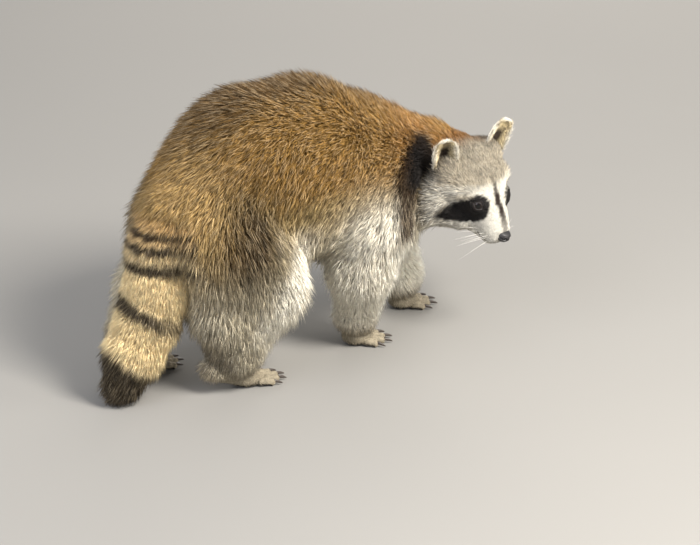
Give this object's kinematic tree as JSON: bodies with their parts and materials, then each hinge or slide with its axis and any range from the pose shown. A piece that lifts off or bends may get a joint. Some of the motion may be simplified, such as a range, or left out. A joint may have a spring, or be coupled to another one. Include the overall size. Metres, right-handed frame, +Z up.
{
  "type": "raccoon",
  "caption": "Life-size adult raccoon standing on all fours with an arched back, a lowered head turned to its right and a ringed tail hanging to the floor.",
  "frame": {"origin": "middle of the overall box, on the floor that the feet stand on", "axes": "+X is where the hips point, +Y is the animal's left, +Z is up"},
  "size_m": [0.568, 0.2962, 0.3466],
  "materials": {
    "coat": "matt fur, agouti brown with dark and buff tips",
    "leg_fur": "matt fur, grizzled grey-buff",
    "face_fur": "short matt fur with a black mask and white brows",
    "tail_fur": "matt bushy fur with dark rings",
    "ear_fur": "short matt fur, pale rims",
    "paw_fur": "very short matt fur over bare soles",
    "nose_skin": "moist black skin",
    "eye": "wet dark brown",
    "claw": "dark horn"
  },
  "bodies": {
    "root": {"claw_front_left_1": "claw", "claw_front_left_2": "claw", "claw_front_left_3": "claw", "claw_front_left_4": "claw", "claw_front_left_5": "claw", "claw_front_right_1": "claw", "claw_front_right_2": "claw", "claw_front_right_3": "claw", "claw_front_right_4": "claw", "claw_front_right_5": "claw", "claw_hind_left_1": "claw", "claw_hind_left_2": "claw", "claw_hind_left_3": "claw", "claw_hind_left_4": "claw", "claw_hind_left_5": "claw", "claw_hind_right_1": "claw", "claw_hind_right_2": "claw", "claw_hind_right_3": "claw", "claw_hind_right_4": "claw", "claw_hind_right_5": "claw", "ear_left": "ear_fur", "ear_right": "ear_fur", "eye_left": "eye", "eye_right": "eye", "foot_front_left": "paw_fur", "foot_front_right": "paw_fur", "foot_hind_left": "paw_fur", "foot_hind_right": "paw_fur", "head": "face_fur", "lower_leg_front_left": "leg_fur", "lower_leg_front_right": "leg_fur", "lower_leg_hind_left": "leg_fur", "lower_leg_hind_right": "leg_fur", "neck": "coat", "nose": "nose_skin", "tail": "tail_fur", "trunk": "coat", "upper_leg_front_left": "coat", "upper_leg_front_right": "coat", "upper_leg_hind_left": "coat", "upper_leg_hind_right": "coat"}
  },
  "joints": []
}
